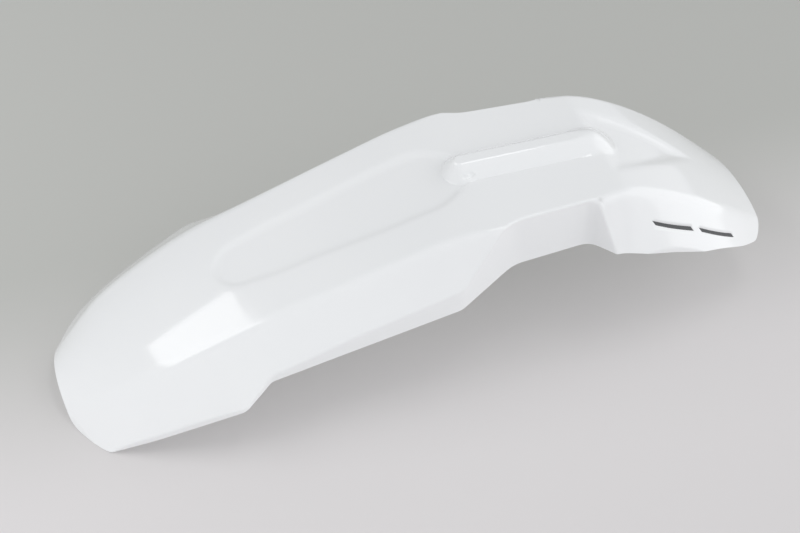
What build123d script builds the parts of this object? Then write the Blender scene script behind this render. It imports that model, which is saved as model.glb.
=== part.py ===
"""Front mudguard of an off-road motorcycle: one moulded shell, sizes in millimetres.

+X points forward to the nose, +Y to the rider's left and +Z up along the steering axis.
The origin is the centre of the four bolts, on the plane of the boss mouths under the deck.
Depths are measured down from the deck, which is level between the fork legs.
"""
from build123d import *
from math import asin, atan, cos, degrees, hypot, sin, tan
import os

# Moulding, how far cutters reach past it, the least sizes of a section's shoulder and of a hollow's floor,
# and how far along its tangents a shoulder's curve is pulled to be round
wall = 2.6
clear = 20.0
least_round = 1.0
least_floor_half = 0.4
round_pull = 0.63

# Mount: four blind bolt bosses under the deck
bolt_pitch_long = 76.0
bolt_pitch_across = 64.0
bolt_hole = 6.6
boss_diameter = 16.0
boss_height = 4.0
membrane = 1.2

# Crown line: a level deck, a bend, a straight run and a drooping nose; the tail curls down
nose_reach = 480.0
droop_start = 300.0
nose_droop = 39.5
nose_slope = 0.30
nose_bend_length = 75.0
deck_front = 56.0
deck_back = -70.0
tail_reach = -247.0
tail_fall = 101.6
tail_bend = 1.44

# Lower edge, from the nose to the tail: place, half width in plan and depth
nose_lip = 473.5
nose_lip_depth = 175.0
nose_block_half = 62.0
nose_cheek = 446.0
nose_cheek_half = 95.5
nose_cheek_depth = 175.2
cheek_back = 400.0
cheek_back_half = 109.7
notch_front = 317.0
notch_front_half = 129.8
notch_front_depth = 121.4
notch_back = 288.0
notch_back_half = 114.0
notch_back_depth = 107.0
arch_front = 100.0
arch_front_half = 108.0
arch_front_depth = 77.0
arch_middle = 40.0
arch_middle_half = 82.0
arch_depth = 60.0
arch_back = -40.0
arch_back_half = 77.5
tail_front = -61.0
tail_half = 104.0
tail_front_depth = 57.5
tail_middle = -176.0
tail_middle_depth = 89.0
tail_quarter = -213.0
tail_quarter_depth = 107.5
tail_corner_depth = 122.0

# Spine along the deck, which leans forward in front
spine_front = 61.5
spine_lean = 6.0
spine_back = -58.0
spine_foot_half = 20.0
spine_top_half = 6.0
spine_height = 12.0
spine_edge_radius = 4.0

# Hollow in the crown ahead of the spine
hollow_front = 316.0
hollow_end = 58.0
hollow_nose_half = 31.0
hollow_depth = 2.8
hollow_bank = 6.6

# Arrow-shaped hollow behind the spine
arrow_front = -74.0
arrow_tip = -181.0
arrow_half = 43.0
arrow_bulge = 1.58
arrow_depth = 4.0
arrow_bank = 9.0

# Slots in the tail's sides: front end, depth there and fall to the back
slots = [(-98.2, 35.5, 0.44), (-151.0, 59.3, 0.60)]
slot_length = 43.3
slot_end_lean = 3.2
slot_end_drop = 4.8

# Oval dimple on each flank of the spine, turned with its rounded front
dimple_place = 64.0
dimple_rise = 4.0
dimple_length = 14.3
dimple_height = 6.5
dimple_depth = 0.7
dimple_turn = 12.0

deck_top = boss_height + wall
lowest = -nose_cheek_depth - clear
bolt_spots = GridLocations(bolt_pitch_long, bolt_pitch_across, 2, 2)
flank_run = (spine_foot_half - spine_top_half) / spine_height


def rail(*stations):
    """A smooth curve through (place, value) stations, given from the tail to the nose."""
    places = [place for place, _ in stations]
    values = [value for _, value in stations]
    last = len(stations) - 1
    slopes = []
    for i in range(last + 1):
        before, after = max(i - 1, 0), min(i + 1, last)
        slopes.append((values[after] - values[before]) / (places[after] - places[before]))

    def at(place):
        place = min(max(place, places[0]), places[last])
        i = max(j for j in range(last) if places[j] <= place)
        span = places[i + 1] - places[i]
        t = (place - places[i]) / span
        start = values[i] * (1 + 2 * t) + slopes[i] * span * t
        end = values[i + 1] * (3 - 2 * t) + slopes[i + 1] * span * (t - 1)
        return start * (1 - t) ** 2 + end * t ** 2

    return at


# The shoulder between crown and skirt, and the half width of the long hollow
shoulder_half = rail((-247, 53), (-181, 70), (-120, 75), (-75, 76), (-45, 80), (0, 84), (40, 88),
                     (65, 88.5), (100, 86), (201, 81.5), (317, 76), (389, 70), (426, 64), (453, 50),
                     (480, 34))
shoulder_fall = rail((-247, 9), (-181, 5.5), (-120, 2.5), (-70, 1), (65, 1.5), (201, 3.5), (317, 6),
                     (389, 9), (440, 10.5), (480, 11))
shoulder_radius = rail((-247, 22), (-181, 20), (-120, 14), (-63, 6), (65, 6), (100, 8), (201, 12),
                       (317, 30), (389, 45), (480, 45))
skirt_slope = rail((-247, 0.9), (-213, 1.0), (-181, 1.18), (-120, 1.62), (-63, 2.4), (65, 2.4),
                   (100, 2.15), (201, 1.33), (265, 1.07), (317, 0.84), (351, 0.86), (389, 0.885),
                   (426, 0.875), (453, 0.78), (480, 0.7))
hollow_half = rail((58, 16), (95, 40.5), (130, 43), (180, 40.4), (218, 37), (257, 35.5), (285, 31))
section_places = [505, 479, 450, 415, 365, 310, 250, 190, 130, 95, 65, 20, -30, -70, -100, -140, -180,
                  -220, -260]


def crown(x):
    """Height of the crown line at x."""
    if x < deck_back:
        return deck_top - tail_fall * ((x - deck_back) / (tail_reach - deck_back)) ** tail_bend
    ahead = max(x - deck_front, 0)
    bent = min(ahead, nose_bend_length)
    droop = max(x - droop_start, 0) / (nose_reach - droop_start)
    straight = ahead - bent + bent ** 2 / nose_bend_length / 2
    return deck_top - nose_slope * straight - nose_droop * droop ** 2


def sink(x, inset):
    """How far down a skin moves at x to lie inset below the crown, square to it."""
    return inset * hypot(1, (crown(x + 1) - crown(x - 1)) / 2)


def bow(chord, rise):
    """Radius of the arc that rises so far over a chord."""
    return (chord ** 2 / 4 + rise ** 2) / rise / 2


def halves(a, b, c, d):
    """The two halves of the curve that leaves a towards b and reaches d from c."""
    ab, bc, cd = (a + b) / 2, (b + c) / 2, (c + d) / 2
    abc, bcd = (ab + bc) / 2, (bc + cd) / 2
    middle = (abc + bcd) / 2
    return [Bezier(a, ab, abc, middle), Bezier(middle, bcd, cd, d)]


def section(x, inset):
    """Cross-section of the skin at x, moved in by inset and closed well below the skirts.

    The outer shoulder is round; the inner one is a flat that touches the matching round in its middle.
    """
    slope, fall = atan(skirt_slope(x)), shoulder_fall(x)
    half = shoulder_half(x) - inset * tan(slope / 2)
    top, foot = crown(x) - sink(x, inset), lowest - inset
    arc = bow(2 * half, fall)
    edge = asin(half / arc)
    turn = slope - edge
    radius = max(shoulder_radius(x) - inset, least_round)
    setback = max(radius * (tan(turn / 2) - (tan(turn / 4) if inset else 0)), least_round)
    tilt, pull = edge - setback / arc, round_pull * setback
    start = Vector(arc * sin(tilt), top - arc + arc * cos(tilt))
    end = Vector(half, top - fall) + setback * Vector(cos(slope), -sin(slope))
    if inset:
        shoulder = [Line(start, end)]
    else:
        shoulder = halves(start, start + pull * Vector(cos(tilt), -sin(tilt)),
                          end - pull * Vector(cos(slope), -sin(slope)), end)
    foot_half = half + (top - fall - foot) / tan(slope)
    near = [*shoulder, Line(end, (foot_half, foot))]
    arch = ThreePointArc((-start.X, start.Y), (0, top), start)
    base = Line((-foot_half, foot), (foot_half, foot))
    far = [mirror(line, about=Plane.YZ) for line in near]
    return Plane.YZ.offset(x) * make_face([arch, *near, base, *far])


def cornered(start, corners, end):
    """Straight runs from start to end through (x, y, radius) corners, each rounded."""
    points = [start, *[corner[:2] for corner in corners], end]
    return FilletPolyline(*points, radius=[corner[2] for corner in corners])


def plan(inset):
    """Upright block on the plan outline, which makes the rim and the walls beside the fork legs."""
    half = cornered(
        (nose_reach + clear, 0),
        [(nose_reach + clear, nose_block_half, 1), (nose_cheek, nose_cheek_half, 30),
         (cheek_back, cheek_back_half, 300), (notch_front, notch_front_half, 12),
         (notch_back, notch_back_half, 14), (arch_front, arch_front_half, 22),
         (arch_middle, arch_middle_half, 60), (arch_back, arch_back_half, 18),
         (tail_front, tail_half, 8), (tail_reach - clear, tail_half, 1)],
        (tail_reach - clear, 0))
    outline = make_face([*half.edges(), *mirror(half, about=Plane.XZ).edges()])
    if inset:
        outline = offset(outline, -inset)
    return Pos(0, 0, lowest - inset) * extrude(outline, 2 * clear - lowest)


def side():
    """Block across the width whose underside is the lower edge and whose ends are nose and tail."""
    line = cornered(
        (tail_reach, clear),
        [(tail_reach, -tail_corner_depth, 12), (tail_quarter, -tail_quarter_depth, 100),
         (tail_middle, -tail_middle_depth, 200), (tail_front, -tail_front_depth, 60),
         (arch_middle, -arch_depth, 80), (arch_front, -arch_front_depth, 22),
         (notch_back, -notch_back_depth, 14), (notch_front, -notch_front_depth, 12),
         (nose_cheek, -nose_cheek_depth, 25), (nose_lip, -nose_lip_depth, 9),
         (nose_reach, -nose_lip_depth + clear, 10)],
        (nose_reach, clear))
    outline = make_face([*line.edges(), Line(line @ 1, line @ 0)])
    return extrude(Plane.XZ * Pos(0, deck_top) * outline, notch_front_half + clear, both=True)


def dish(places, half_at, depth_at, run, inset):
    """Cutter for a shallow hollow that follows the crown, its banks run wide for each mm of depth."""
    sections = []
    for x in places:
        level = crown(x) - sink(x, inset)
        floor = level - depth_at(x)
        floor_half = max(half_at(x) - depth_at(x) * run, least_floor_half)
        top_half = floor_half + (depth_at(x) + clear) * run
        outline = Polyline((-floor_half, floor), (floor_half, floor), (top_half, level + clear),
                           (-top_half, level + clear), close=True)
        sections.append(Plane.YZ.offset(x) * make_face(outline))
    return loft(sections)


def hollow(inset):
    """The long hollow: round in front, widening to the back, closing on the spine's foot."""
    centre = hollow_front - hollow_nose_half

    def half_at(x):
        if x > centre:
            return max(hollow_nose_half ** 2 - (x - centre) ** 2, 0) ** 0.5
        return hollow_half(x)

    def depth_at(x):
        return hollow_depth * min(1, (hollow_front - x) / hollow_bank)

    nose = [hollow_front + step for step in (3, -3, -9, -16, -24, -33)]
    places = [*nose, 272, 259, 243, 224, 201, 176, 150, 127, 108, 93, 81, 70, hollow_end]
    return dish(places, half_at, depth_at, hollow_bank / hollow_depth, inset)


def arrow(inset):
    """The arrow-shaped hollow: square across the back of the spine, running out to a point."""
    def half_at(x):
        t = max((x - arrow_front) / (arrow_tip - arrow_front), 0)
        return max(arrow_half * (1 - t ** arrow_bulge), 0)

    def depth_at(x):
        return arrow_depth * min(1, (arrow_front - x) / arrow_bank, half_at(x) / arrow_bank)

    front = [arrow_front + step for step in (4, -2, -9)]
    places = [*front, -95, -110, -125, -140, -152, -163, -172, arrow_tip, arrow_tip - 6]
    return dish(places, half_at, depth_at, arrow_bank / arrow_depth, inset)


def spine(inset):
    """The raised spine: a long round-ended ridge with sloping flanks and a rounded top edge."""
    thinner = inset / sin(atan(1 / flank_run))

    def outline(rise):
        front = spine_front + spine_lean * rise / spine_height
        width = 2 * (spine_foot_half - rise * flank_run - thinner)
        middle = Pos((front + spine_back) / 2, 0, deck_top + rise)
        return middle * SlotCenterToCenter(front - spine_back, width)

    root = -hollow_depth - arrow_depth - inset
    ridge = loft([outline(root), outline(spine_height - inset)], ruled=True)
    if inset:
        return ridge
    return fillet(ridge.faces().sort_by(Axis.Z)[-1].edges(), spine_edge_radius)


def body(inset):
    """Everything inside the skin that lies inset below the outer one."""
    skin = loft([section(x, inset) for x in section_places])
    return (skin - hollow(inset) - arrow(inset) + spine(inset)) & plan(inset)


def slot(front, depth, fall):
    """A slanted slot through both sides of the tail."""
    back, back_depth = front - slot_length, depth + slot_length * fall
    outline = Polyline((front, -depth), (front - slot_end_lean, -depth - slot_end_drop),
                       (back - slot_end_lean, -back_depth - slot_end_drop), (back, -back_depth),
                       close=True)
    return extrude(Plane.XZ * Pos(0, deck_top) * make_face(outline), tail_half + clear, both=True)


def dimples():
    """Shallow oval dimples in both flanks of the spine, pressed by the outside of a ring."""
    along, across = bow(dimple_length, dimple_depth), bow(dimple_height, dimple_depth)
    foot = Pos(dimple_place, spine_foot_half - dimple_rise * flank_run, deck_top + dimple_rise)
    flank = foot * Rot(0, 0, -dimple_turn) * Rot(-degrees(atan(1 / flank_run)), 0, 0)
    ring = Rot(90, 0, 0) * Torus(along - across, across)
    left = flank * Pos(0, 0, along - dimple_depth) * ring
    return [left, mirror(left, about=Plane.XZ)]


def bosses():
    """The four bolt bosses under the deck, up into its wall."""
    return [spot * extrude(Circle(boss_diameter / 2), boss_height + wall / 2) for spot in bolt_spots]


def bores():
    """The blind bores in the bosses, which stop short of the top skin."""
    return [spot * extrude(Circle(bolt_hole / 2), deck_top - membrane) for spot in bolt_spots]


shell = (body(0) & side()) - body(wall)
shell = shell - [slot(*stations) for stations in slots] - dimples()
shell = shell + bosses() - bores()

os.makedirs("parts", exist_ok=True)
export_step(shell, "parts/mudguard_shell.step")
print("valid", shell.is_valid, "solids", len(shell.solids()), "volume", round(shell.volume))
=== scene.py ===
# %% [markdown]
# # Front mudguard of an off-road motorcycle
#
# The real part is one thin moulding of glossy white plastic. It bolts under the fork clamp, reaches out
# over the front wheel and droops at the nose, and its tail curls down behind the fork.
#
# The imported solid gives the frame: +X to the nose, +Y to the rider's left, +Z up out of the deck, in
# metres. The solid could be shown as it is, but its facets are few and its edges sharp, and a subdivided
# copy would soften all edges alike. So the shell is drawn again here as one fine mesh, from named sizes
# in millimetres, and scaled at the end. It keeps the solid's form: crown, skirts, fork scallops, spine,
# hollows, slots, wall and bosses.

# %% Frame
from math import pi

import bmesh
import bpy
import numpy as np
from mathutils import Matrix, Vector


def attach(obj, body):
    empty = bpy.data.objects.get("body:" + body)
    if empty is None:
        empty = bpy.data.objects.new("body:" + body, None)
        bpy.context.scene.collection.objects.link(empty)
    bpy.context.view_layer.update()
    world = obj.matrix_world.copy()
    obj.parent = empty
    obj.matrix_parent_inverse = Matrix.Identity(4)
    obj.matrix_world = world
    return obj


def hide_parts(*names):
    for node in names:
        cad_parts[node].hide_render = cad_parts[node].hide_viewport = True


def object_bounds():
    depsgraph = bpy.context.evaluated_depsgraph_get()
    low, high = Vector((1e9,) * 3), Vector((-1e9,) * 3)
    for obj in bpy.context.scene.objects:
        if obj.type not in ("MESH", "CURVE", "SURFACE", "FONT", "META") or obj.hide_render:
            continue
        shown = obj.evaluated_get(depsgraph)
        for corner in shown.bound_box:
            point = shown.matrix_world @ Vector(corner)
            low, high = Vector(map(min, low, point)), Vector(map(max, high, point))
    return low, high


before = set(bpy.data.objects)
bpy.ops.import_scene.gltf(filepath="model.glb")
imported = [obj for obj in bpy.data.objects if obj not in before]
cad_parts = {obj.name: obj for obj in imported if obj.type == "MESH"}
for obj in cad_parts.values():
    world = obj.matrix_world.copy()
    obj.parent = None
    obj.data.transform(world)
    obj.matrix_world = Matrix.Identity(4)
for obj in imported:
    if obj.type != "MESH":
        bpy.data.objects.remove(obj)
cad_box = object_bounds()
print("solid, mm:", [round(1000 * (high - low), 1) for low, high in zip(*cad_box)])


# %% [markdown]
# ## Curves
#
# The real skin follows long even curves, and its edges follow straight runs with round corners. Curve
# objects could hold both, but a value at a given place is hard to read back from them. Plain functions of
# x are chosen: a rail is a smooth curve through stations, and a rounded line is a row of straight runs
# with round corners.

# %% Rail
def rail(*stations):
    """A smooth function of x through (x, value) stations."""
    places, values = np.array(stations, float).T
    before = np.r_[0, np.arange(len(places) - 1)]
    after = np.r_[np.arange(1, len(places)), len(places) - 1]
    slopes = (values[after] - values[before]) / (places[after] - places[before])

    def at(x):
        x = np.clip(x, places[0], places[-1])
        i = np.clip(np.searchsorted(places, x, "right") - 1, 0, len(places) - 2)
        span = places[i + 1] - places[i]
        t = (x - places[i]) / span
        start = values[i] * (1 + 2 * t) + slopes[i] * span * t
        end = values[i + 1] * (3 - 2 * t) + slopes[i + 1] * span * (t - 1)
        return start * (1 - t) ** 2 + end * t ** 2

    return at


print("a rail over a hill, at its top:", float(rail((0, 0), (1, 1), (2, 0))(1.0)))

# %% Rounded line
arc_points = 9


def rounded_line(*corners):
    """A function of x along straight runs through (x, value, radius) corners."""
    points = np.array([corner[:2] for corner in corners], float)
    line = [points[0]]
    for a, b, c, (_, _, radius) in zip(points, points[1:], points[2:], corners[1:]):
        into, out = (b - a) / np.hypot(*(b - a)), (c - b) / np.hypot(*(c - b))
        turn = np.arccos(np.clip(into @ out, -1, 1))
        side = np.sign(into[0] * out[1] - into[1] * out[0])
        start = b - into * (radius * np.tan(turn / 2))
        centre = start + side * radius * np.array([-into[1], into[0]])
        spoke = start - centre
        for t in np.linspace(0, turn, arc_points):
            cosine, sine = np.cos(side * t), np.sin(side * t)
            swung = [cosine * spoke[0] - sine * spoke[1], sine * spoke[0] + cosine * spoke[1]]
            line.append(centre + np.array(swung))
    line.append(points[-1])
    line = np.array(line)
    order = np.argsort(line[:, 0], kind="stable")
    return lambda x: np.interp(x, line[order, 0], line[order, 1])


roof = rounded_line((0, 0, 1), (9, 9, 4), (18, 0, 1))
print("a rounded roof, at its ridge:", round(float(roof(9.0)), 2))


# %% [markdown]
# ## Soft joins
#
# Where two faces of a moulding meet, the real edge is always a little round. A bevel modifier could round
# the edges of a finished mesh, but it needs clean edges to work on. Here the heights themselves are
# joined softly.

# %% Soft joins
def smooth_min(a, b, k):
    """The lower of two heights, rounded where they come within k of each other."""
    near = np.maximum(k - np.abs(a - b), 0) / k
    return np.minimum(a, b) - near ** 2 * k / 4


def smooth_max(a, b, k):
    """The higher of two heights, rounded the same way."""
    return -smooth_min(-a, -b, k)


def ramp(d, width, soft=0.28):
    """From 0 to 1 as d goes from 0 to width, with rounded ends."""
    return smooth_min(smooth_max(d / width, 0.0, soft), 1.0, soft)


print("ramp before, halfway and after:", [round(float(ramp(d, 1.0)), 2) for d in (-0.5, 0.5, 1.5)])

# %% [markdown]
# ## Crown line and skin
#
# Seen from the side, the real crown is level over the fork, bends to a straight run, droops at the nose
# and curls down at the tail. Across, it is a flat arch that turns over soft shoulders into the skirts. A
# cage with a subdivision modifier could come near it. A height function is chosen because it follows the
# solid closely, and every later step can ask it for a height. Places are along X from the mount.

# %% Crown
wall = 2.6
boss_height = 4.0
deck_top = boss_height + wall
nose_reach, droop_start, nose_droop, nose_slope = 480.0, 300.0, 39.5, 0.30
nose_bend_length, deck_front, deck_back = 75.0, 56.0, -70.0
tail_reach, tail_fall, tail_bend, tail_ease = -247.0, 101.6, 1.44, 0.03


def crown(x):
    """Height of the middle line."""
    share = np.maximum(deck_back - x, 0) / (deck_back - tail_reach)
    tail = tail_fall * ((share ** 2 + tail_ease ** 2) ** (tail_bend / 2) - tail_ease ** tail_bend)
    ahead = np.maximum(x - deck_front, 0)
    bent = np.minimum(ahead, nose_bend_length)
    droop = np.maximum(x - droop_start, 0) / (nose_reach - droop_start)
    nose = nose_slope * (ahead - bent + bent ** 2 / nose_bend_length / 2) + nose_droop * droop ** 2
    return deck_top - tail - nose


crown_places = (tail_reach, 0.0, nose_reach)
print("crown at tail, mount and nose, mm:", [round(float(crown(x)), 1) for x in crown_places])

# %% Skin
shoulder_half = rail((-247, 53), (-181, 70), (-120, 75), (-75, 76), (-45, 80), (0, 84), (40, 88),
                     (65, 88.5), (100, 86), (201, 81.5), (317, 76), (389, 70), (426, 64), (453, 50),
                     (480, 34))
shoulder_fall = rail((-247, 9), (-181, 5.5), (-120, 2.5), (-70, 1), (65, 1.5), (201, 3.5), (317, 6),
                     (389, 9), (440, 10.5), (480, 11))
shoulder_radius = rail((-247, 22), (-181, 20), (-120, 14), (-63, 6), (65, 6), (100, 8), (201, 12),
                       (317, 30), (389, 45), (480, 45))
skirt_slope = rail((-247, 0.9), (-213, 1.0), (-181, 1.18), (-120, 1.62), (-63, 2.4), (65, 2.4),
                   (100, 2.15), (201, 1.33), (265, 1.07), (317, 0.84), (351, 0.86), (389, 0.885),
                   (426, 0.875), (453, 0.78), (480, 0.7))
steepest_arch = 0.9


def skin(x, y):
    """Height of the plain skin: an arch that turns over the shoulder into a straight skirt."""
    half, fall, slope = shoulder_half(x), shoulder_fall(x), skirt_slope(x)
    arc = (half ** 2 + fall ** 2) / fall / 2
    arch = crown(x) - arc + np.sqrt(np.maximum(arc ** 2 - y ** 2, 1))
    skirt = crown(x) - fall - slope * (y - half)
    edge = np.arcsin(np.minimum(half / arc, steepest_arch))
    turn = np.arctan(slope) - edge
    blend = (slope - np.tan(edge)) * shoulder_radius(x) * np.tan(turn / 2) * (1 + np.cos(turn)) / 2
    return smooth_min(arch, skirt, blend)


print("shoulder half width at the mount, mm:", round(float(shoulder_half(0.0)), 1))

# %% [markdown]
# ## The two hollows
#
# Ahead of the spine the real deck is pressed in by a few millimetres, in a long tongue with a round
# front. Behind the spine a second hollow narrows like an arrow to a blunt tip. Booleans would need a
# cutter for each and leave hard edges. A distance in from the rim is enough: a ramp of it lowers the
# skin, and its width sets how soft the bank is.

# %% Long hollow
hollow_front, hollow_end, hollow_nose_half, hollow_depth, hollow_bank = 316.0, 58.0, 31.0, 2.8, 6.6
hollow_half = rail((58, 16), (95, 40.5), (130, 43), (180, 40.4), (218, 37), (257, 35.5), (285, 31))


def in_hollow(x, y):
    """Distance in from the long hollow's rim."""
    centre = hollow_front - hollow_nose_half
    nose = hollow_nose_half - np.hypot(np.maximum(x - centre, 0), y)
    sides = hollow_half(x) - y
    return np.where(x > centre, nose, np.minimum(sides, x - hollow_end + hollow_bank))


print("long hollow, length and width, mm:", hollow_front - hollow_end, 2 * float(hollow_half(130.0)))

# %% Arrow-shaped hollow
arrow_front, arrow_tip, arrow_half, arrow_bulge = -74.0, -181.0, 43.0, 1.58
arrow_depth, arrow_bank, arrow_softness = 4.0, 11.0, 0.45
arrow_blunt, arrow_corner, arrow_least = 4, 3.0, 0.01
arrow_length = arrow_front - arrow_tip


def in_arrow(x, y):
    """Distance in from the arrow-shaped hollow's rim."""
    t = np.maximum(arrow_front - x, 0) / arrow_length
    half = arrow_half * (1 - t ** arrow_bulge)
    steep = arrow_half * arrow_bulge * np.maximum(t, arrow_least) ** (arrow_bulge - 1) / arrow_length
    side = (half + arrow_blunt - np.hypot(y, arrow_blunt)) / np.hypot(1, steep)
    return smooth_min(side, arrow_front - x, arrow_corner)


print("arrow-shaped hollow, length and width, mm:", arrow_length, 2 * arrow_half)

# %% [markdown]
# ## The spine
#
# A raised rib stiffens the real deck. It leans forward in front, has slanted flanks and a narrow top, and
# runs out softly behind. A bevelled block joined to the skin would leave a seam. As a height over the
# deck it joins by itself: the higher of the two heights is kept.

# %% Spine
spine_front, spine_lean, spine_back = 61.5, 6.0, -58.0
spine_foot_half, spine_top_half, spine_height = 20.0, 6.0, 12.0
runout_start, runout_growth = 0.35, 0.014


def spine_rise(x, y):
    """Height of the spine's flanks over the deck, below it outside the foot."""
    run = (spine_foot_half - spine_top_half) / spine_height
    lean = spine_lean / spine_height
    flank = (spine_foot_half - y) / run
    behind = np.maximum(spine_back - x, 0)
    back = (spine_foot_half - np.hypot(runout_start * behind + runout_growth * behind ** 2, y)) / run
    # The front is part of a leaning cone, whose height solves a quadratic
    ahead = x - spine_front
    a = run ** 2 - lean ** 2
    b = 2 * (spine_foot_half * run - lean * ahead)
    c = spine_foot_half ** 2 - ahead ** 2 - y ** 2
    nose = (b - np.sqrt(np.maximum(b ** 2 - 4 * a * c, 0))) / (2 * a)
    side = np.where(x < spine_back, back, flank)
    return np.where(ahead > lean * flank, nose, side)


print("spine, length and foot width, mm:", spine_front - spine_back, 2 * spine_foot_half)

# %% Top surface
spine_edge, foot_fillet = 1.3, 0.03
runout_places, runout_softness = [-110, -85, -62, -50], [0, 3.0, 3.0, 0]


def top(x, y):
    """Height of the whole top: the skin, the two hollows pressed into it, and the spine."""
    z = skin(x, y)
    pressed = ramp(in_hollow(x, y), hollow_bank)
    z = z * (1 - pressed) + (crown(x) - hollow_depth) * pressed
    pressed = ramp(in_arrow(x, y), arrow_bank, arrow_softness)
    z = z * (1 - pressed) + (crown(x) - arrow_depth) * pressed
    soft = np.interp(x, runout_places, runout_softness)
    ridge = deck_top + smooth_min(spine_rise(x, y), spine_height, spine_edge + soft)
    return smooth_max(z, ridge, foot_fillet + soft)


print("spine over the deck, mm:", round(float(top(0.0, 0.0) - skin(0.0, 0.0)), 2))

# %% [markdown]
# ## Outline and slots
#
# Seen from above, the real shell has a wide nose, a notch behind it, a waist for the fork legs and a
# flared tail. Seen from the side, its lower edge falls towards both ends. Two slanted slots lie in each
# side of the tail. A traced outline could cut the shell with a boolean, but the cut leaves long thin
# faces. Here the outline is two functions and the slots are one line, and the mesh gets its vertices on
# them. Depths are down from the level deck.

# %% Outline
plan_half = rounded_line((500, 62, 1), (446, 95.5, 30), (400, 109.7, 300), (317, 129.8, 12),
                         (288, 114, 14), (100, 108, 22), (40, 82, 60), (-40, 77.5, 18),
                         (-61, 104, 8), (-267, 104, 1))
lower_depth = rounded_line((-247, 60, 1), (-246.9, 122, 12), (-213, 105.5, 100), (-176, 86.2, 200),
                           (-120, 70.8, 200), (-61, 57.5, 60), (40, 60, 80), (100, 77, 22),
                           (288, 107, 14), (317, 121.4, 12), (446, 175.2, 25), (473.5, 175, 9),
                           (479.9, 155, 10), (480, 100, 1))
waist = [round(float(side(0.0)), 1) for side in (plan_half, lower_depth)]
print("half width and depth at the fork legs, mm:", waist)

# %% Slots
slot_ends = [(-98.2, -141.5), (-151.0, -194.3)]
slot_lean, slot_drop = 3.2, 4.8
slot_top = rounded_line((-90, 31.9, 1), (-98.2, 35.5, 1), (-141.5, 54.55, 1), (-151, 59.3, 1),
                        (-194.3, 85.3, 1), (-205, 91.7, 1))


def slot_foot(x):
    """Depth of the slots' lower side: the upper side moved back and down."""
    return slot_top(x + slot_lean) + slot_drop


print("slots on each side, mm long:", [round(front - back, 1) for front, back in slot_ends])

# %% [markdown]
# ## One half section
#
# Cut across, half of the real shell runs from the crown out to the rim, round a small bend and down to
# the lower edge. Even steps along that line would need many times the faces to show the spine's edges and
# the slots. So the steps are uneven: stops are set at the spine, the shoulder, the slots and the rim, and
# each gap between two stops has its own count of columns.

# %% Rim bend
edge_radius, soft_reach = 2.4, 2.8
soft_places, soft_share = [-74, -60, -46, -34, 280, 290, 312, 322], np.r_[0, 1, 1, 0, 0, 1, 1, 0]


def soft_edge(x):
    """How far the rim's bend reaches: more where the tail flares and at the notch behind the nose."""
    return np.interp(x, soft_places, edge_radius + soft_reach * soft_share)


def lengths(points):
    """How far along the line each point lies."""
    return np.r_[0, np.cumsum(np.hypot(*np.diff(points, axis=0).T))]


def round_corner(points, corner, reach):
    """A bend in place of the corner, reach long to each side, and how far along the corner was."""
    along = lengths(points)
    middle = along[corner]
    start, end = (np.array([np.interp(s, along, points[:, i]) for i in (0, 1)])
                  for s in (middle - reach, middle + reach))
    t = np.linspace(0, 1, arc_points)[:, None]
    bend = start * (1 - t) ** 2 + 2 * points[corner] * t * (1 - t) + end * t ** 2
    return np.vstack([points[along < middle - reach], bend, points[along > middle + reach]]), middle


print("rim bend at the mount and at the notch, mm:", [round(float(soft_edge(x)), 1) for x in (0.0, 300.0)])

# %% Section line
skin_samples, rim_samples = 700, 60
bend_share = 0.45


def section_line(x):
    """The line of one half section, and how far along it the rim's bend lies, if it has one."""
    reach, foot = float(plan_half(x)), deck_top - float(lower_depth(x))
    y = np.linspace(0, reach, skin_samples)
    z = top(x, y)
    deep = np.nonzero(z < foot)[0]
    if len(deep):
        k = max(deep[0], 1)
        t = (z[k - 1] - foot) / (z[k - 1] - z[k])
        return np.column_stack([np.r_[y[:k], y[k - 1] + t * (y[k] - y[k - 1])], np.r_[z[:k], foot]]), None
    drop = np.linspace(z[-1], foot, rim_samples)[1:]
    points = np.column_stack([np.r_[y, np.full(rim_samples - 1, reach)], np.r_[z, drop]])
    return round_corner(points, skin_samples - 1, min(soft_edge(x), bend_share * (z[-1] - foot)))


print("rim at the mount and at the nose's end:", [section_line(x)[1] is not None for x in (0.0, 470.0)])

# %% Columns of a section
# The spine's foot lies after four of these gaps, and the slots after nine
column_counts = [3, 14, 3, 12, 5, 8, 5, 8, 4, 1, 4, 9, 6]
slot_column, foot_column = sum(column_counts[:9]), sum(column_counts[:4])
# Half widths of the stops on the deck, each with the largest share of the way to the rim it may take
deck_stops = [(4.3, 0.08), (8.1, 0.14), (11.5, 0.2), (spine_foot_half + 0.08, 0.3), (23, 0.36)]
flat_stop, flat_lead, flat_share = 50, 16, 0.62
# The stops before and after the middle of the shoulder, with their shares
shoulder_stops = [(-9, 0.82), (9, 0.92)]
# What is left below the rim's corner, and how far the close columns reach to each side of it
rim_left, rim_left_share = 5.0, 0.3
corner_reach, corner_reach_share = 1.25, 0.06
slot_zone, slot_shares = [-225, -203, -90, -72], (0.45, 0.6)
past_crown = 200
tiny = 1e-9


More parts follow.
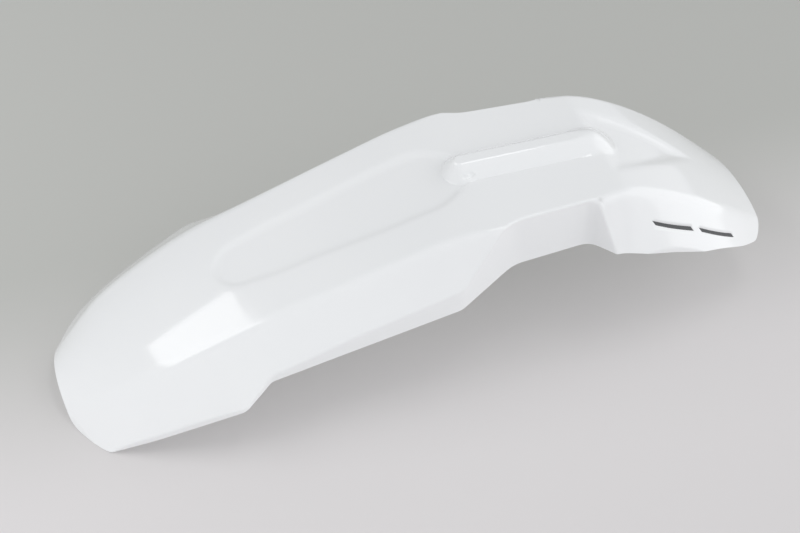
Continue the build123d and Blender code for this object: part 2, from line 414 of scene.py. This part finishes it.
def half_section(x):
    """The vertices of one half section, as (y, z), from the crown to the lower edge."""
    points, corner = section_line(x)
    along, rising = lengths(points), np.arange(len(points)) * tiny
    length = along[-1]
    corner = min(corner or length, length - min(rim_left, rim_left_share * length))
    around = min(corner_reach * soft_edge(x), corner_reach_share * length)
    near, far = corner - around, corner + around
    width = np.maximum.accumulate(points[:, 0]) + rising

    def at(half, share):
        return min(float(np.interp(half, width, along)), share * near)

    bend = float(shoulder_half(x))
    stops = [0, *(at(half, share) for half, share in deck_stops)]
    stops.append(at(min(flat_stop, bend - flat_lead), flat_share))
    stops += [at(bend + off, share) for off, share in shoulder_stops]
    slot = [stops[-1] + share * (near - stops[-1]) for share in slot_shares]
    keep = np.interp(x, slot_zone, [0, 1, 1, 0])
    if keep > 0:
        height = -points[:, 1] + rising
        for i, depth in enumerate((slot_top(x), slot_foot(x))):
            side = np.interp(depth - deck_top, height[past_crown:], along[past_crown:])
            slot[i] += keep * (side - slot[i])
    stops += [*slot, near, far, length]
    places = [0.0]
    for low, high, count in zip(stops, stops[1:], column_counts):
        places.extend(np.linspace(low, high, count + 1)[1:])
    return np.column_stack([np.interp(places, along, points[:, i]) for i in (0, 1)])


print("columns from the crown to the lower edge:", len(half_section(0.0)))


# %% [markdown]
# ## The grid of sections
#
# The sections stand one behind the other from the tail to the nose. They are close where the form changes
# quickly: at both ends, at the ends of the slots and the spine, and at the notch. An adaptive subdivision
# would find these places too, but listed runs keep the rows on the slots' ends.

# %% Stations
def spread(*runs):
    """Station places: (start, step) runs, each up to the next one's start."""
    places = []
    for (start, step), (end, _) in zip(runs, runs[1:]):
        places.extend(np.linspace(start, end, max(int(round((end - start) / step)), 1), endpoint=False))
    return np.array([*places, runs[-1][0]])


stations = spread((-246.9, 0.3), (-245.7, 0.5), (-243, 0.9), (-239, 2.4), (-228, 4), (-194.3, 2.4),
                  (-151, 2.4), (-141.5, 2.4), (-98.2, 2.2), (-86, 1.6), (-52, 1.8), (-30, 4), (30, 2.6),
                  (52, 1.0), (86, 2.4), (112, 4.6), (282, 2), (322, 4.6), (440, 2.6), (466, 1.3),
                  (473, 0.7), (478, 0.25), (479.5, 0.075), (479.72, 1))
rows = len(stations)
half_grid = np.array([half_section(x) for x in stations])
columns = half_grid.shape[1]
print("rows and columns of the half:", rows, columns)

# %% Slanted columns
# Columns below the slots lean back, so that the slots' ends slant
lean_zone = [-232, -203, -90, -70]
lean_share = np.interp(np.arange(columns), [slot_column, slot_column + 1, columns - 1], [0, 1, 0])
lean_here = np.interp(stations, lean_zone, [0, 1, 1, 0])
outer = np.zeros((rows, columns, 3))
for j in range(columns):
    x = stations - slot_lean * lean_share[j] * lean_here
    outer[:, j, 0] = x
    outer[:, j, 1] = np.interp(x, stations, half_grid[:, j, 0])
    outer[:, j, 2] = np.interp(x, stations, half_grid[:, j, 1])
print("half width, mm:", round(float(outer[..., 1].max()), 1))

# %% [markdown]
# ## The oval dimples on the spine
#
# Each flank of the real spine has a shallow oval near the front, with a small pip in its middle. A bump
# in the material would give the shading, but no true shape. The grid is fine enough here to press the
# oval into the mesh.

# %% Dimples
dimple_centre = np.array([64.0, 15.3, deck_top + 4.0])
dimple_length_half, dimple_height_half, dimple_depth = 7.1, 3.3, 1.2
dimple_bank, dimple_softness = 0.25, 0.4
pip_length_half, pip_height_half, pip_height, pip_fade = 2.4, 1.7, 0.7, 1.5


def oval(length_half, height_half):
    """Distance from the dimple's centre, 1 on the oval's rim."""
    off = outer - dimple_centre
    return np.hypot(off[..., 0] / length_half, np.hypot(off[..., 1], off[..., 2]) / height_half)


rim, pip = oval(dimple_length_half, dimple_height_half), oval(pip_length_half, pip_height_half)
outer[..., 2] -= dimple_depth * ramp(1 - rim, dimple_bank, dimple_softness) * (rim < 1)
outer[..., 2] += pip_height * np.exp(-pip ** 2 * pip_fade)
print("vertices in a dimple:", int((rim < 1).sum()))

# %% [markdown]
# ## The whole skin and its inside
#
# The real wall is the same all over, and both sides mirror each other. A mirror and a solidify modifier
# could do this, but solidify lets the wall cross itself at tight corners. So the half is mirrored here,
# and the inside is set one wall in along the normals and kept above the lower edge.

# %% Outer skin and normals
outer = np.concatenate([outer[:, :0:-1] * np.array([1, -1, 1]), outer], axis=1)
across = outer.shape[1]
normal = np.cross(np.gradient(outer, axis=0), np.gradient(outer, axis=1))
normal /= np.maximum(np.linalg.norm(normal, axis=2, keepdims=True), tiny)
if normal[rows // 2, across // 2, 2] < 0:
    normal = -normal

# At both ends the grid's columns crowd together, so the normal comes from the height function there
tail_end, nose_end, step = -222, 452, 0.05
ends = (outer[..., 0] < tail_end) | (outer[..., 0] > nose_end)
end_x, end_y = outer[ends][:, 0], np.abs(outer[ends][:, 1])
slope_x = (top(end_x + step, end_y) - top(end_x - step, end_y)) / (2 * step)
slope_y = (top(end_x, end_y + step) - top(end_x, np.abs(end_y - step))) / (2 * step)
upright = np.column_stack([-slope_x, -slope_y * np.sign(outer[ends][:, 1]), np.ones(len(end_x))])
normal[ends] = upright / np.linalg.norm(upright, axis=1, keepdims=True)
print("vertices across the whole skin:", across)

# %% Inner skin
inner = outer - wall * normal
lower_edge = deck_top - lower_depth(np.clip(inner[..., 0], stations[0], stations[-1]))
inner[..., 2] = np.maximum(inner[..., 2], lower_edge)
inner[..., 0] = np.clip(inner[..., 0], stations[0], stations[-1])
print("wall at the mount, mm:", round(float(np.linalg.norm((outer - inner)[rows // 2, across // 2])), 2))

# %% [markdown]
# ## Faces, lips and slots
#
# Both skins become quads, left open where the slots are. The real edge of the moulding is slightly round,
# so a lip of two faces joins the skins along the border and in the slots. The bridge tool could join the
# loops as well, but here the matching vertices are already known. A thin dark sheet just under the skin
# closes each slot. It is painted shade, standing in for the shaded inside seen through the open slots.

# %% Faces of both skins
vertices = [*outer.reshape(-1, 3), *inner.reshape(-1, 3)]
layer = rows * across
middles = (stations[:-1] + stations[1:]) / 2
slot_columns = (slot_column + columns - 1, columns - 2 - slot_column)
slot_rows = [[i for i in range(rows - 1) if back < middles[i] < front] for front, back in slot_ends]
open_faces = {(i, j) for hit in slot_rows for i in hit for j in slot_columns}
faces = []
for i in range(rows - 1):
    for j in range(across - 1):
        if (i, j) in open_faces:
            continue
        quad = [i * across + j, (i + 1) * across + j, (i + 1) * across + j + 1, i * across + j + 1]
        faces.append(quad)
        faces.append([layer + k for k in reversed(quad)])
print("faces of both skins:", len(faces))


# %% Lips
def bridge(path):
    """A closed lip between the outer and the inner vertex of each place on the path."""
    lips = []
    for k in path:
        lips.append([k, len(vertices), layer + k])
        vertices.append((vertices[k] + vertices[layer + k]) / 2)
    for one, two in zip(lips, lips[1:] + lips[:1]):
        for m in range(2):
            faces.append([one[m], one[m + 1], two[m + 1], two[m]])


border = list(range(across))
border += [i * across + across - 1 for i in range(1, rows)]
border += [(rows - 1) * across + j for j in range(across - 2, -1, -1)]
border += [i * across for i in range(rows - 2, 0, -1)]
bridge(border)
print("vertices on the border:", len(border))

# %% Slots and the painted shade in them
# Each slot is closed by a dark sheet this deep under the skin: painted shade for the slot's shaded inside
painted_shade_depth = 0.5
painted_slot_shade = []
for hit in slot_rows:
    for column in slot_columns:
        first, last = min(hit), max(hit) + 1
        loop = [i * across + column for i in range(first, last + 1)]
        loop += [i * across + column + 1 for i in range(last, first - 1, -1)]
        bridge(loop)
        start = len(vertices)
        for i in range(first, last + 1):
            vertices.extend(outer[i, column + k] - painted_shade_depth * normal[i, column + k] for k in (0, 1))
        for k in range(start, len(vertices) - 2, 2):
            painted_slot_shade.append([k, k + 2, k + 3, k + 1])
print("inlay faces:", len(painted_slot_shade))

# %% [markdown]
# ## Bolt bosses
#
# How the real part is screwed to the fork clamp isn't seen, so four short bosses with blind bores stand
# in for its mount, under the deck. Cylinders and booleans could make them. A turned profile gives the
# foot fillet, the round mouth and the bore in one go.

# %% Bosses
boss_radius, bore_radius, membrane = 8.0, 3.3, 1.2
bolt_places = [(x, y) for x in (-38.0, 38.0) for y in (-32.0, 32.0)]
boss_profile = [(boss_radius + 2.0, boss_height + 0.4), (boss_radius + 0.7, boss_height - 0.5),
                (boss_radius, boss_height - 1.6), (boss_radius, 0.6), (boss_radius - 0.6, 0.0),
                (bore_radius + 0.4, 0.0), (bore_radius, 0.4), (bore_radius, deck_top - membrane),
                (0.02, deck_top - membrane)]
boss_spokes, hidden_inset = 40, 3


def boss(x, y):
    """A bolt boss: the profile turned about the bolt."""
    start = len(vertices)
    for radius, z in boss_profile:
        for k in range(boss_spokes):
            turn = 2 * pi * k / boss_spokes
            vertices.append(np.array([x + radius * np.cos(turn), y + radius * np.sin(turn), z]))
    for m in range(len(boss_profile) - 1):
        for k in range(boss_spokes):
            a, b = start + m * boss_spokes + k, start + m * boss_spokes + (k + 1) % boss_spokes
            faces.append([a, b, b + boss_spokes, a + boss_spokes])


def under_boss(face):
    """Whether a face of the inner skin is hidden inside a boss."""
    if min(face) < layer or max(face) >= 2 * layer:
        return False
    x, y, z = np.mean([vertices[k] for k in face], axis=0)
    reach = boss_radius - hidden_inset
    inside = (np.hypot(x - bolt_x, y - bolt_y) < reach for bolt_x, bolt_y in bolt_places)
    return z > 0 and any(inside)


for bolt_x, bolt_y in bolt_places:
    boss(bolt_x, bolt_y)
faces = [face for face in faces if not under_boss(face)]
print("bosses:", len(bolt_places))

# %% [markdown]
# ## The mesh
#
# Smooth shading suits nearly all of the shell. Two lines stay crisp on the real part: the foot of the
# spine and the border of the shell. Splitting the mesh there would open it. Edges marked sharp keep it
# whole.

# %% Mesh
millimetre = 0.001
mesh = bpy.data.meshes.new("mudguard_shell_fine")
mesh.from_pydata([tuple(v * millimetre) for v in vertices], [], faces + painted_slot_shade)
mesh.polygons.foreach_set("use_smooth", [True] * len(mesh.polygons))
# The dark sheets in the slots, which are painted shade, take the second material
mesh.polygons.foreach_set("material_index", [0] * len(faces) + [1] * len(painted_slot_shade))
crisp_back, crisp_front = -52, 58
crisp_rows = [i for i in range(rows - 1) if crisp_back < stations[i] < crisp_front]
crisp_columns = (columns - 1 + foot_column, columns - 1 - foot_column)
crisp = {(i * across + j, (i + 1) * across + j) for i in crisp_rows for j in crisp_columns}
crisp |= {tuple(sorted(pair)) for pair in zip(border, border[1:] + border[:1])}
for edge in mesh.edges:
    edge.use_edge_sharp = tuple(sorted(edge.vertices)) in crisp
mesh.validate()

# All faces are turned to look outwards
turned = bmesh.new()
turned.from_mesh(mesh)
bmesh.ops.recalc_face_normals(turned, faces=turned.faces)
turned.to_mesh(mesh)
turned.free()
mesh.update()
shell = bpy.data.objects.new("mudguard_shell_fine", mesh)
bpy.context.collection.objects.link(shell)
print("triangles:", sum(len(polygon.vertices) - 2 for polygon in mesh.polygons))


# %% [markdown]
# ## Uneven tint
#
# No moulded surface has quite one colour. Both finishes need the same faint mottling, so it is a node
# group with named inputs, built once: noise that mixes a low and a high colour. An image texture could do
# it too, but it would have to be painted and unwrapped.

# %% Nodes and the tint group
def add_node(tree, kind, values=None, **settings):
    """A shader node with its settings made and its constant sockets set."""
    node = tree.nodes.new("ShaderNode" + kind)
    for name, value in settings.items():
        setattr(node, name, value)
    for name, value in (values or {}).items():
        node.inputs[name].default_value = value
    return node


tint_group = bpy.data.node_groups.new("uneven_tint", "ShaderNodeTree")
tint_inputs = {"Vector": "Vector", "Scale": "Float", "Detail": "Float", "Low": "Color", "High": "Color"}
for name, kind in tint_inputs.items():
    tint_group.interface.new_socket(name, in_out="INPUT", socket_type="NodeSocket" + kind)
tint_group.interface.new_socket("Color", in_out="OUTPUT", socket_type="NodeSocketColor")
group_in, group_out = tint_group.nodes.new("NodeGroupInput"), tint_group.nodes.new("NodeGroupOutput")
mottle = add_node(tint_group, "TexNoise")
tint_mix = add_node(tint_group, "Mix", data_type="RGBA")
for name in ("Vector", "Scale", "Detail"):
    tint_group.links.new(group_in.outputs[name], mottle.inputs[name])
tint_group.links.new(mottle.outputs["Fac"], tint_mix.inputs["Factor"])
tint_group.links.new(group_in.outputs["Low"], tint_mix.inputs["A"])
tint_group.links.new(group_in.outputs["High"], tint_mix.inputs["B"])
tint_group.links.new(tint_mix.outputs["Result"], group_out.inputs["Color"])


def uneven_tint(tree, place, scale, detail, low, high):
    """The group placed in a material, feeding its base colour."""
    node = add_node(tree, "Group", node_tree=tint_group)
    for name, value in (("Scale", scale), ("Detail", detail), ("Low", low), ("High", high)):
        node.inputs[name].default_value = value
    tree.links.new(place.outputs["Object"], node.inputs["Vector"])
    tree.links.new(node.outputs["Color"], tree.nodes["Principled BSDF"].inputs["Base Color"])


print("tint group inputs:", list(tint_inputs))

# %% [markdown]
# ## White moulded plastic
#
# The real shell is a glossy white with a faint cool cast. One plain white with one low roughness would
# look too clean. A little uneven gloss, a very fine ripple of the mould and a thin clear coat make it
# plastic.

# %% White plastic
plastic = bpy.data.materials.new("white_plastic")
plastic.use_nodes = True
tree = plastic.node_tree
shader = tree.nodes["Principled BSDF"]
for name, value in (("IOR", 1.49), ("Coat Weight", 0.15), ("Coat Roughness", 0.08)):
    shader.inputs[name].default_value = value
place = add_node(tree, "TexCoord")
uneven_tint(tree, place, 6, 3, (0.80, 0.81, 0.82, 1), (0.84, 0.845, 0.85, 1))
gloss = add_node(tree, "TexNoise", {"Scale": 40, "Detail": 4})
gloss_range = add_node(tree, "MapRange", {"To Min": 0.06, "To Max": 0.10})
ripple = add_node(tree, "TexNoise", {"Scale": 2600, "Detail": 2})
bump = add_node(tree, "Bump", {"Strength": 0.02, "Distance": 0.0001})
for noise in (gloss, ripple):
    tree.links.new(place.outputs["Object"], noise.inputs["Vector"])
tree.links.new(gloss.outputs["Fac"], gloss_range.inputs["Value"])
tree.links.new(gloss_range.outputs["Result"], shader.inputs["Roughness"])
tree.links.new(ripple.outputs["Fac"], bump.inputs["Height"])
tree.links.new(bump.outputs["Normal"], shader.inputs["Normal"])
shell.data.materials.append(plastic)
print("material:", plastic.name)

# %% [markdown]
# ## Painted shade in the slots
#
# The slots show as dull dark grey, where the shaded inside is seen through them. A deep black hole would
# hide their shape. So the sheet in each slot gets a rough dark finish with the same mottling. It is
# painted shade, and it catches a little light, as a shaded inside does.

# %% Painted shade in the slots
# The dark colour is painted shade, in place of the shade inside the slots
dark = bpy.data.materials.new("painted_shade_dark")
dark.use_nodes = True
dark.node_tree.nodes["Principled BSDF"].inputs["Roughness"].default_value = 0.7
dark_place = add_node(dark.node_tree, "TexCoord")
uneven_tint(dark.node_tree, dark_place, 700, 2, (0.07, 0.071, 0.074, 1), (0.105, 0.106, 0.11, 1))
shell.data.materials.append(dark)
print("materials on the shell:", [material.name for material in shell.data.materials])

# %% Shell in the frame
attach(shell, "root")
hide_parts("mudguard_shell")
print("drawn in place of the solid:", shell.name)

# %% [markdown]
# ## Paper floor
#
# The part lies on pale paper, whose colour runs darker towards the back and warmer in front. More light
# would whiten the paper, but bleach the part as well. So the camera, the gloss and clear pieces see a
# paler paper that glows a little and keeps a softened shadow, while the light that bounces to the part
# comes from the plain one.

# %% Paper
floor_size, floor_gap = 14, 0.0005
bpy.ops.mesh.primitive_plane_add(size=floor_size, location=(0, 0, cad_box[0].z - floor_gap))
floor = bpy.context.object
floor.name = "floor"
paper = bpy.data.materials.new("pale_paper")
paper.use_nodes = True
tree = paper.node_tree
paper_finish = {"Roughness": 0.8, "Specular IOR Level": 0.2}
paper_plain = tree.nodes["Principled BSDF"]
for name, value in paper_finish.items():
    paper_plain.inputs[name].default_value = value
paper_seen = add_node(tree, "BsdfPrincipled", {**paper_finish, "Emission Strength": 0.30})
paper_place, paper_split = add_node(tree, "TexCoord"), add_node(tree, "SeparateXYZ")
paper_run = add_node(tree, "MapRange", {"From Min": -0.19, "From Max": 0.17},
                     interpolation_type="SMOOTHSTEP")
paper_tint = add_node(tree, "Mix", data_type="RGBA",
                      values={"A": (0.60, 0.606, 0.582, 1), "B": (0.888, 0.864, 0.87, 1)})
paper_dim = add_node(tree, "Mix", data_type="RGBA", blend_type="MULTIPLY",
                     values={"Factor": 1.0, "B": (0.48, 0.48, 0.48, 1)})
tree.links.new(paper_place.outputs["Object"], paper_split.inputs["Vector"])
tree.links.new(paper_split.outputs["Y"], paper_run.inputs["Value"])
tree.links.new(paper_run.outputs["Result"], paper_tint.inputs["Factor"])
tree.links.new(paper_tint.outputs["Result"], paper_plain.inputs["Base Color"])
tree.links.new(paper_tint.outputs["Result"], paper_dim.inputs["A"])
tree.links.new(paper_dim.outputs["Result"], paper_seen.inputs["Base Color"])
tree.links.new(paper_tint.outputs["Result"], paper_seen.inputs["Emission Color"])
print("paper lies at, mm:", round(1000 * floor.location.z, 1))

# %% Paper as it is seen
paper_ray = add_node(tree, "LightPath")
paper_gloss, paper_eye = (add_node(tree, "Math", operation="MAXIMUM") for _ in range(2))
paper_both = add_node(tree, "MixShader")
tree.links.new(paper_ray.outputs["Is Glossy Ray"], paper_gloss.inputs[0])
tree.links.new(paper_ray.outputs["Is Transmission Ray"], paper_gloss.inputs[1])
tree.links.new(paper_ray.outputs["Is Camera Ray"], paper_eye.inputs[0])
tree.links.new(paper_gloss.outputs["Value"], paper_eye.inputs[1])
tree.links.new(paper_eye.outputs["Value"], paper_both.inputs["Fac"])
tree.links.new(paper_plain.outputs["BSDF"], paper_both.inputs[1])
tree.links.new(paper_seen.outputs["BSDF"], paper_both.inputs[2])
tree.links.new(paper_both.outputs["Shader"], tree.nodes["Material Output"].inputs["Surface"])
floor.data.materials.append(paper)
print("paper nodes:", len(tree.nodes))


# %% [markdown]
# ## Lamps
#
# In the studio a softbox ahead of the nose leaves one bright patch on it, and the rest is soft. Point
# lamps would leave hard spots on the gloss. Three large area lamps are used: the softbox, a weak one
# overhead, and a very wide dim one behind that lights the tail without an edge.

# %% Lamps
def lamp(name, position, target, size, power):
    """A rectangular area lamp that looks at the target."""
    light = bpy.data.lights.new(name, "AREA")
    light.shape = "RECTANGLE"
    light.size, light.size_y = size
    light.energy = power
    holder = bpy.data.objects.new(name, light)
    bpy.context.collection.objects.link(holder)
    holder.location = position
    holder.rotation_euler = (Vector(target) - Vector(position)).to_track_quat("-Z", "Y").to_euler()


lamp("softbox", (1.37, -0.33, 1.13), (1.37, -0.33, 0.0), (0.97, 1.35), 12)
lamp("overhead", (-0.42, 0.02, 1.9), (-0.42, 0.02, 0.0), (0.5, 1.0), 5)
lamp("side", (-2.4, 0.6, 0.9), (-0.1, 0.0, -0.05), (4.0, 2.4), 23)
print("lamps:", [light.name for light in bpy.data.lights])

# %% [markdown]
# ## Studio walls
#
# The rest of the studio is pale and uneven. A picture of a studio could be wrapped round the scene, but a
# sum of a few simple terms does the same: brighter in front and towards both ends, a little more behind,
# darker above.

# %% Sky
world = bpy.data.worlds.new("studio")
world.use_nodes = True
tree = world.node_tree
sky = tree.nodes["Background"]
sky.inputs["Color"].default_value = (0.97, 0.985, 1.0, 1)
sky_place, sky_split = add_node(tree, "TexCoord"), add_node(tree, "SeparateXYZ")
tree.links.new(sky_place.outputs["Generated"], sky_split.inputs["Vector"])


def sky_math(operation, a, b):
    """A sum, product or power of a sky value and a number or another value."""
    node = add_node(tree, "Math", operation=operation)
    for socket, value in zip(node.inputs, (a, b)):
        if isinstance(value, float):
            socket.default_value = value
        else:
            tree.links.new(value, socket)
    return node.outputs[0]


sky_front = sky_math("MULTIPLY", sky_split.outputs["Y"], 0.32)
sky_ends = sky_math("MULTIPLY", sky_math("POWER", sky_split.outputs["X"], 2.0), 0.34)
sky_above = sky_math("MULTIPLY", sky_split.outputs["Z"], -0.30)
sky_behind = sky_math("MULTIPLY", sky_split.outputs["X"], -0.10)
sky_base = sky_math("ADD", sky_math("ADD", sky_above, sky_behind), 0.735)
glow = sky_math("ADD", sky_math("ADD", sky_front, sky_ends), sky_base)
tree.links.new(glow, sky.inputs["Strength"])
bpy.context.scene.world = world
print("sky nodes:", len(tree.nodes))

# %% [markdown]
# ## Camera
#
# The photograph's camera stands in front of the part, to its left, and looks down on it. It could be set
# by eye, but then nothing lines up. Its place and its lens come from a fit to the part's own symmetry.

# %% Camera
camera_place, camera_gaze = (0.4283, 0.9418, 0.8991), (-0.2133, -0.6672, -0.7137)
camera_data = bpy.data.cameras.new("camera")
camera_data.sensor_width, camera_data.lens = 36, 63
camera = bpy.data.objects.new("camera", camera_data)
bpy.context.collection.objects.link(camera)
camera.location = camera_place
camera.rotation_euler = Vector(camera_gaze).to_track_quat("-Z", "Y").to_euler()
bpy.context.scene.camera = camera
bpy.context.scene.view_settings.view_transform = "Standard"
print("camera to mount, m:", round(camera.location.length, 2))
